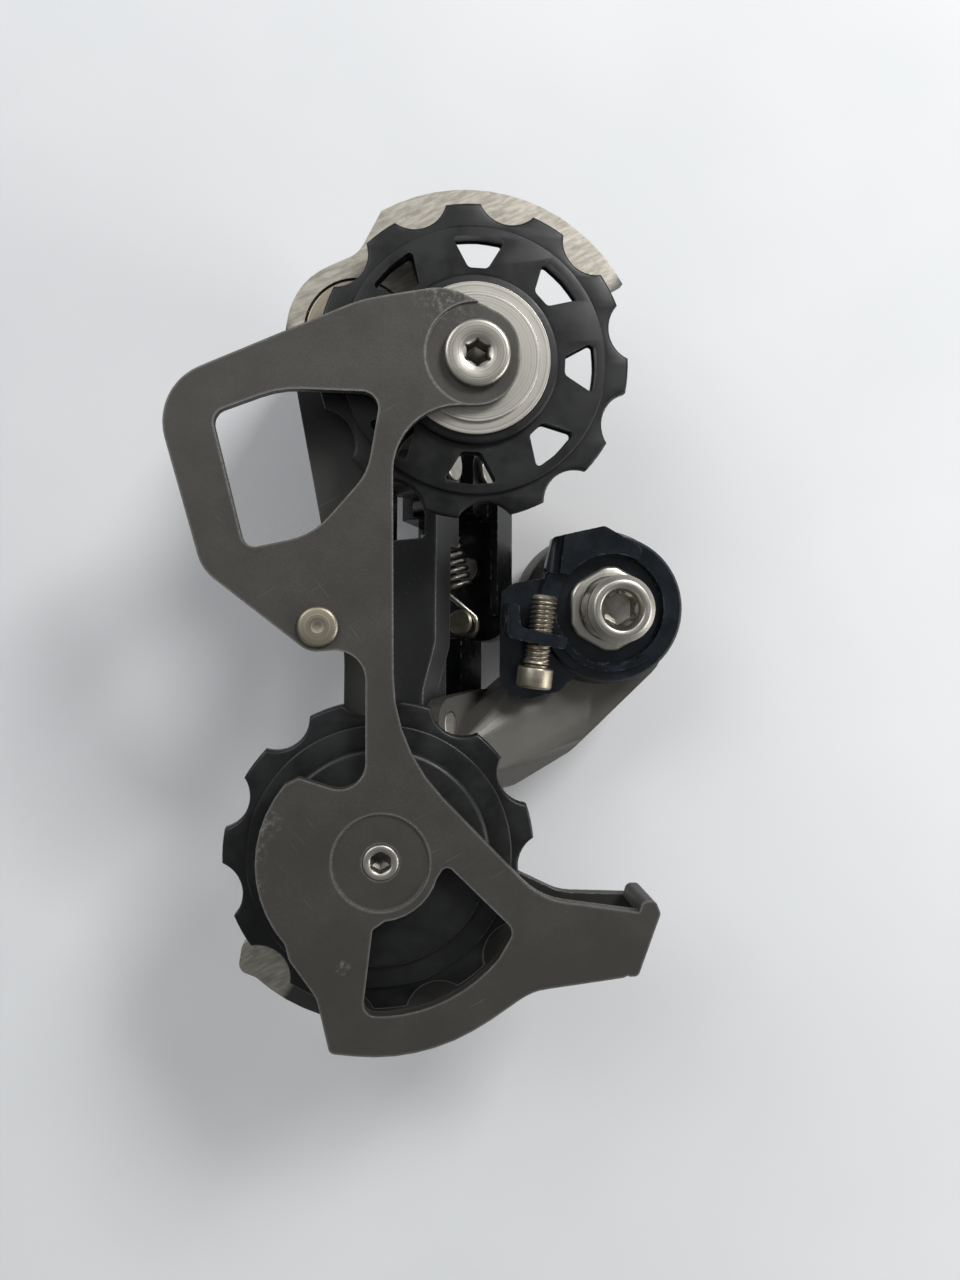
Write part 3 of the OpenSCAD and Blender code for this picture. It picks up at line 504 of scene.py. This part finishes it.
def joined(layers):
    """One closed mesh from layers that overlap."""
    base, *others = [bpy.data.objects.new("layer", mesh) for mesh in layers]
    for item in (base, *others):
        bpy.context.scene.collection.objects.link(item)
    for other in others:
        union = base.modifiers.new("union", "BOOLEAN")
        union.operation = "UNION"
        union.solver = "EXACT"
        union.object = other
    apply_modifiers(base)
    mesh = base.data
    for item in (base, *others):
        bpy.data.objects.remove(item)
    mesh.shade_smooth()
    mesh.set_sharp_from_angle(angle=math.radians(34))
    return mesh


# Thickness of the inner plate, in mm
PLATE_T = 2

# Pulleys, in mm, round their own axes
TEETH = 11
VALLEY_R = 4.6
VALLEY_AT = 23.9
TOOTH_HALF = 1.2
RIM_R = 18.3
RIM_HALF = 1.9
HUB_HALF = 3.1
BORE_R = 6.0
INSIDE_HUB = 8.0
UNDER_RIM = 17.6
WINDOW = ((12.2, 1.5, 1.1), (16.8, 4.2, 0.8), (17.3, 0, 12), (16.8, -4.2, 0.8), (12.2, -1.5, 1.1))


def tooth_outline(tip_r, first_angle):
    """The outline of the teeth: flat tips on a circle, with a round valley between each two."""
    reach = math.acos((tip_r ** 2 + VALLEY_AT ** 2 - VALLEY_R ** 2) / (2 * tip_r * VALLEY_AT))
    pitch = math.tau / TEETH
    rise = math.atan2(tip_r * math.sin(reach), VALLEY_AT - tip_r * math.cos(reach))
    points = []
    for k in range(TEETH):
        tip = [(tip_r, a) for a in (-pitch / 2 + reach, -pitch / 4 + reach / 2, 0, pitch / 4 - reach / 2)]
        points += turned_by([(r * math.cos(a), r * math.sin(a)) for r, a in tip], first_angle + k * pitch)
        sweep = [rise * (1 - i / 6) for i in range(13)]
        valley = [(VALLEY_AT - VALLEY_R * math.cos(a), -VALLEY_R * math.sin(a)) for a in sweep]
        points += turned_by(valley[:-1], first_angle + (k + 0.5) * pitch)
    return points


def pulley(node, tooth_angle, hub_r, hub_bevel, window_angles):
    """A toothed pulley: the toothed ring, the web with its windows, and the hub."""
    low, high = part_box(node)
    tip_r = (high[0] - low[0]) / 2 / MM
    windows = [turned_by(rounded_outline(WINDOW), math.radians(angle)) for angle in window_angles]
    mesh = joined([
        layer(tooth_outline(tip_r - 0.02, math.radians(tooth_angle)), [circle(UNDER_RIM)], TOOTH_HALF, 0.4),
        layer(circle(RIM_R, 144), [circle(INSIDE_HUB), *windows], RIM_HALF, 0.3),
        layer(circle(hub_r), [circle(BORE_R)], HUB_HALF, hub_bevel)])
    return place_piece(mesh, node, Matrix.Translation(middle_of(node)))


def loft(rings, samples, inner_closed=True):
    """A closed mesh through rings in mm.

    A ring is a height and a radius, and the radius is a number or a function of the angle.
    The ends are closed to the axis, or joined to each other where inner_closed is False.
    """
    work = bmesh.new()
    loops = []
    for z, radius in rings:
        loop = []
        for i in range(samples):
            angle = i * math.tau / samples
            r = radius(angle) if callable(radius) else radius
            loop.append(work.verts.new((r * math.cos(angle) * MM, r * math.sin(angle) * MM, z * MM)))
        loops.append(loop)
    pairs = list(zip(loops, loops[1:]))
    if not inner_closed:
        pairs.append((loops[-1], loops[0]))
    for below, above in pairs:
        for i in range(samples):
            j = (i + 1) % samples
            work.faces.new((below[i], below[j], above[j], above[i]))
    if inner_closed:
        for loop, z in ((loops[0], rings[0][0]), (loops[-1], rings[-1][0])):
            centre = work.verts.new((0, 0, z * MM))
            for i in range(samples):
                work.faces.new((loop[i], loop[(i + 1) % samples], centre))
    bmesh.ops.recalc_face_normals(work, faces=work.faces)
    mesh = bpy.data.meshes.new("loft")
    work.to_mesh(mesh)
    work.free()
    mesh.shade_smooth()
    mesh.set_sharp_from_angle(angle=math.radians(40))
    return mesh


def polygon_radius(across_flats, corner_r, sides=6):
    """Radius of a regular polygon at an angle, with its corners cut by a circle of corner_r."""
    sector = math.tau / sides
    return lambda a: min(corner_r, across_flats / 2 / math.cos((a + sector / 2) % sector - sector / 2))


def cross_radius(half_length, half_width):
    """Radius of a cross-shaped recess at an angle."""
    def radius(a):
        c, s = max(abs(math.cos(a)), 1e-6), max(abs(math.sin(a)), 1e-6)
        return max(min(half_length / c, half_width / s), min(half_width / c, half_length / s))
    return radius


def thread(radius, depth, pitch, start, end):
    """Rings of a thread from start to end, in mm, that fade out at both ends."""
    per_pitch = 8
    count = round((end - start) / pitch * per_pitch)
    rings = []
    for i in range(count + 1):
        z = start + (end - start) * i / count
        fade = min(1.0, (z - start) / pitch, (end - z) / pitch)

        def at_angle(a, z=z, fade=fade):
            phase = (z / pitch - a / math.tau) % 1.0
            return radius - depth * fade * min(1.0, 1.25 * abs(2 * phase - 1))
        rings.append((z, at_angle))
    return rings


def facing_down(rings, bottom):
    """Rings of a recess made for a top at height 0, turned over into a bottom face."""
    return [(bottom - z, r) for z, r in rings[::-1]]


def socket(top, mouth_r, across_flats, depth):
    """Rings of a hexagonal socket with a chamfered mouth, sunk from the height top."""
    hexagon = polygon_radius(across_flats, across_flats)
    bottom = top - depth
    return [(top, mouth_r), (top - 0.35, hexagon), (bottom, hexagon), (bottom - 0.6, across_flats / 6)]


def round_edge(r, z, size, rising=True, steps=3):
    """Rings of a rounded edge whose face is at z.

    A rising one goes up the wall and in over the top. The other goes out from the bottom and up the wall.
    """
    rings = []
    for k in range(steps + 1):
        a = math.radians(90 * k / steps)
        rings.append((z - size + size * math.sin(a), r - size + size * math.cos(a)) if rising
                     else (z + size - size * math.sin(a), r - size + size * math.cos(a)))
    return rings if rising else rings[::-1]


def make_hanger_bolt():
    """A head with a socket below, and above it the threaded stub that goes into the hanger."""
    bottom, top = heights_mm("hanger_bolt")
    head_r, head_t, shaft_r, thread_r = 7, 2.4, 4.5, 4.98
    rings = facing_down(socket(0, 3.2, 5, 3), bottom)
    rings += round_edge(head_r, bottom, 0.5, rising=False) + round_edge(head_r, bottom + head_t, 0.5)
    rings += [(bottom + head_t, shaft_r), (0, shaft_r), (0, 4.65), (0.3, thread_r)]
    rings += thread(thread_r, 0.42, 1.0, 0.5, top - 0.9)
    rings += [(top - 0.8, thread_r), (top - 0.12, 4.3), (top, 4.15)]
    rings += [(top, 3.3), (top - 0.15, 3.1), (top - 1.6, 2.75)]
    rings += socket(top - 1.8, 2.62, 4.5, 3.4)
    return place_piece(loft(rings, 72), "hanger_bolt")


def make_hanger_washer():
    """A ring with six flats round the hanger bolt's stub."""
    bottom, top = heights_mm("hanger_washer")
    low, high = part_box("hanger_washer")
    bore_r = 4.52
    flats = polygon_radius(12.1, (high[0] - low[0]) / 2 / MM - 0.02, 6)
    rings = [(bottom, bore_r), (bottom, 6.1), (bottom + 0.2, flats), (top - 0.35, flats),
             (top - 0.1, lambda a: flats(a) - 0.25), (top, lambda a: flats(a) - 0.5), (top, bore_r)]
    return place_piece(loft(rings, 96, inner_closed=False), "hanger_washer")


def make_tension_screw():
    """The B-tension screw: its Z axis runs from tip to head."""
    joint = JOINTS["b_screw_turn"]
    turn = Vector(joint["axis"]).to_track_quat("Z", "Y").to_matrix().to_4x4()
    head_start, head_end, head_r = 10.8, 14, 2.7
    rings = [(0, 1.5), (0.4, 1.96)] + thread(1.97, 0.3, 0.7, 0.5, 10.2) + [(10.5, 1.7), (head_start, 1.7)]
    rings += round_edge(head_r, head_start, 0.3, rising=False) + round_edge(head_r, head_end, 0.5)
    recess = cross_radius(1.5, 0.4)
    rings += [(head_end, 1.9), (13.95, recess), (12.8, recess), (12.6, 0.3)]
    return place_piece(loft(rings, 64), "b_tension_screw", Matrix.Translation(joint["pos_m"]) @ turn)


def make_guide_bolt():
    """A low round head with a deep socket, on a plain shaft."""
    bottom, top = heights_mm("guide_bolt")
    shaft_r, head_r, head_t = 2.5, 4.48, 1.5
    rings = [(bottom, 2.3), (bottom + 0.3, shaft_r), (top - head_t, shaft_r), (top - head_t, 4.3)]
    rings += [(top - 1.4, head_r)] + round_edge(head_r, top, 0.55, steps=5) + [(top, 2.35), (top - 0.1, 2.1)]
    rings += socket(top - 0.12, 1.95, 3, 4.5)
    return place_piece(loft(rings, 72), "guide_bolt", onto_axis_of("guide_bolt"))


def make_tension_bolt():
    """A flat head below the outer plate, and the shaft's end with its socket in the inner plate."""
    bottom, top = heights_mm("tension_bolt")
    shaft_r, head_r, head_t = 2.5, 4.2, 1.8
    rings = facing_down(socket(0, 2.2, 3, 1.6), bottom) + round_edge(head_r, bottom, 0.4, rising=False)
    rings += [(bottom + head_t, head_r), (bottom + head_t, shaft_r), (top - 0.35, shaft_r)]
    rings += round_edge(2.45, top, 0.3) + [(top, 1.7), (top - 0.1, 1.55)]
    rings += socket(top - 0.12, 1.5, 2.5, 1.8)
    return place_piece(loft(rings, 72), "tension_bolt", onto_axis_of("tension_bolt"))


def make_guard_pin():
    """The riveted stud of the inner plate, with a low dome and a dimple from riveting."""
    bottom, top = heights_mm("chain_guard_pin")
    plate_high = heights_mm("inner_plate")[1]
    plate_low = plate_high - PLATE_T
    stud_r, neck_r, dome_r = 2.2, 1.5, 2.74
    rings = round_edge(stud_r, bottom, 0.4, rising=False)
    rings += [(plate_low, stud_r), (plate_low, neck_r), (plate_high, neck_r)]
    rings += [(plate_high, 2.6), (plate_high + 0.15, dome_r)] + round_edge(dome_r, top - 0.1, 0.5, steps=5)
    rings += [(top - 0.02, 1.6), (top, 1.1), (top - 0.05, 0.7), (top - 0.15, 0.3)]
    return place_piece(loft(rings, 64), "chain_guard_pin", onto_axis_of("chain_guard_pin"))


# Rounding of each node's edges, in mm
ROUNDING = {
    "inner_plate": 0.65, "outer_plate": 0.5, "stopper_plate": 0.3, "b_knuckle": 0.6, "p_knuckle": 0.5,
    "inner_link": 0.5, "outer_link": 0.35, "b_link_pins": 0.7, "p_link_pins": 0.3, "p_cap": 0.2,
    "barrel_adjuster": 0.12,
}
# The same for turned nodes, which are centred on their own axes
TURNED_ROUNDING = {
    "guide_caps": 0.12, "tension_caps": 0.15, "plate_axle": 0.15, "axle_screw": 0.15, "p_seal": 0.05,
}
# Wire nodes on one body, which only get smooth shading
WIRES = ("b_spring", "p_spring")
# Each pulley's tooth angle in degrees, its hub's radius and rounding in mm, and the angles of its windows
PULLEYS = {
    "guide_pulley": (94, 11.6, 0.6, [88 + 45 * k for k in range(8)]),
    "tension_pulley": (110, 15.2, 0.8, []),
}

for node_name, width in ROUNDING.items():
    rounded(node_name, width)
for node_name, width in TURNED_ROUNDING.items():
    rounded(node_name, width, turned=True)
for node_name in WIRES:
    place_piece(smooth_copy(node_name, join_flat=False), node_name)
make_return_spring()
for node_name, (tooth_angle, hub_r, hub_rounding, window_angles) in PULLEYS.items():
    pulley(node_name, tooth_angle, hub_r, hub_rounding, window_angles)
make_hanger_bolt()
make_hanger_washer()
make_tension_screw()
make_guide_bolt()
make_tension_bolt()
make_guard_pin()

for node_name, part in NODES.items():
    part.data.materials.clear()
    part.data.materials.append(MATERIALS[SLOT_OF[node_name]])


# ---------- Stage, light and camera ----------

def make_floor(height):
    """A plain pale sheet under the object."""
    mesh = bpy.data.meshes.new("floor")
    half = 1.2
    corners = [(x * half, y * half, height) for x, y in ((-1, -1), (1, -1), (1, 1), (-1, 1))]
    mesh.from_pydata(corners, [], [(0, 1, 2, 3)])
    floor = bpy.data.objects.new("floor", mesh)
    bpy.context.scene.collection.objects.link(floor)
    s = Shader("floor", 0.8, 0.0)
    tone = s.mix(s.span(s.noise(60, 3.0), 0.3, 0.7), (0.60, 0.61, 0.62), (0.64, 0.64, 0.65))
    mesh.materials.append(s.finish(tone))


# Name, place, size in metres, power and colour of each light
LIGHTS = (
    ("key", (0.3, 0.42, 0.5), 0.22, 4.2, (1, 1, 1)),
    ("fill", (-0.4, 0.35, 0.5), 0.4, 2.2, (0.97, 0.98, 1)),
    ("rim", (0.42, -0.12, 0.16), 0.3, 1.3, (1, 0.99, 0.96)),
)


def make_light(name, place, target, size, power, colour):
    """A square soft light that faces its target."""
    data = bpy.data.lights.new(name, "AREA")
    data.size = size
    data.energy = power
    data.color = colour
    light = bpy.data.objects.new(name, data)
    light.location = place
    light.rotation_euler = (Vector(target) - Vector(place)).to_track_quat("-Z", "Y").to_euler()
    bpy.context.scene.collection.objects.link(light)


def make_camera():
    """The camera at the photo's angle."""
    data = bpy.data.cameras.new("camera")
    data.sensor_fit = "HORIZONTAL"
    data.sensor_width = 36
    data.lens = 41.25
    data.clip_start = 0.01
    camera = bpy.data.objects.new("camera", data)
    camera.location = (-0.03504, 0.00045, 0.16493)
    camera.rotation_euler = Euler((-0.0311, -0.0911, 0), "XYZ")
    bpy.context.scene.collection.objects.link(camera)
    bpy.context.scene.camera = camera


def make_world():
    """A dim even sky, which fills the shadows."""
    world = bpy.data.worlds.new("studio")
    world.use_nodes = True
    background = world.node_tree.nodes["Background"]
    background.inputs["Color"].default_value = (0.86, 0.88, 0.9, 1)
    background.inputs["Strength"].default_value = 0.3
    bpy.context.scene.world = world


low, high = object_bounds()
middle = (low + high) / 2
make_floor(low.z)
for light_name, light_place, light_size, light_power, light_colour in LIGHTS:
    make_light(light_name, light_place, middle, light_size, light_power, light_colour)
make_world()
make_camera()
bpy.context.scene.view_settings.view_transform = "Standard"
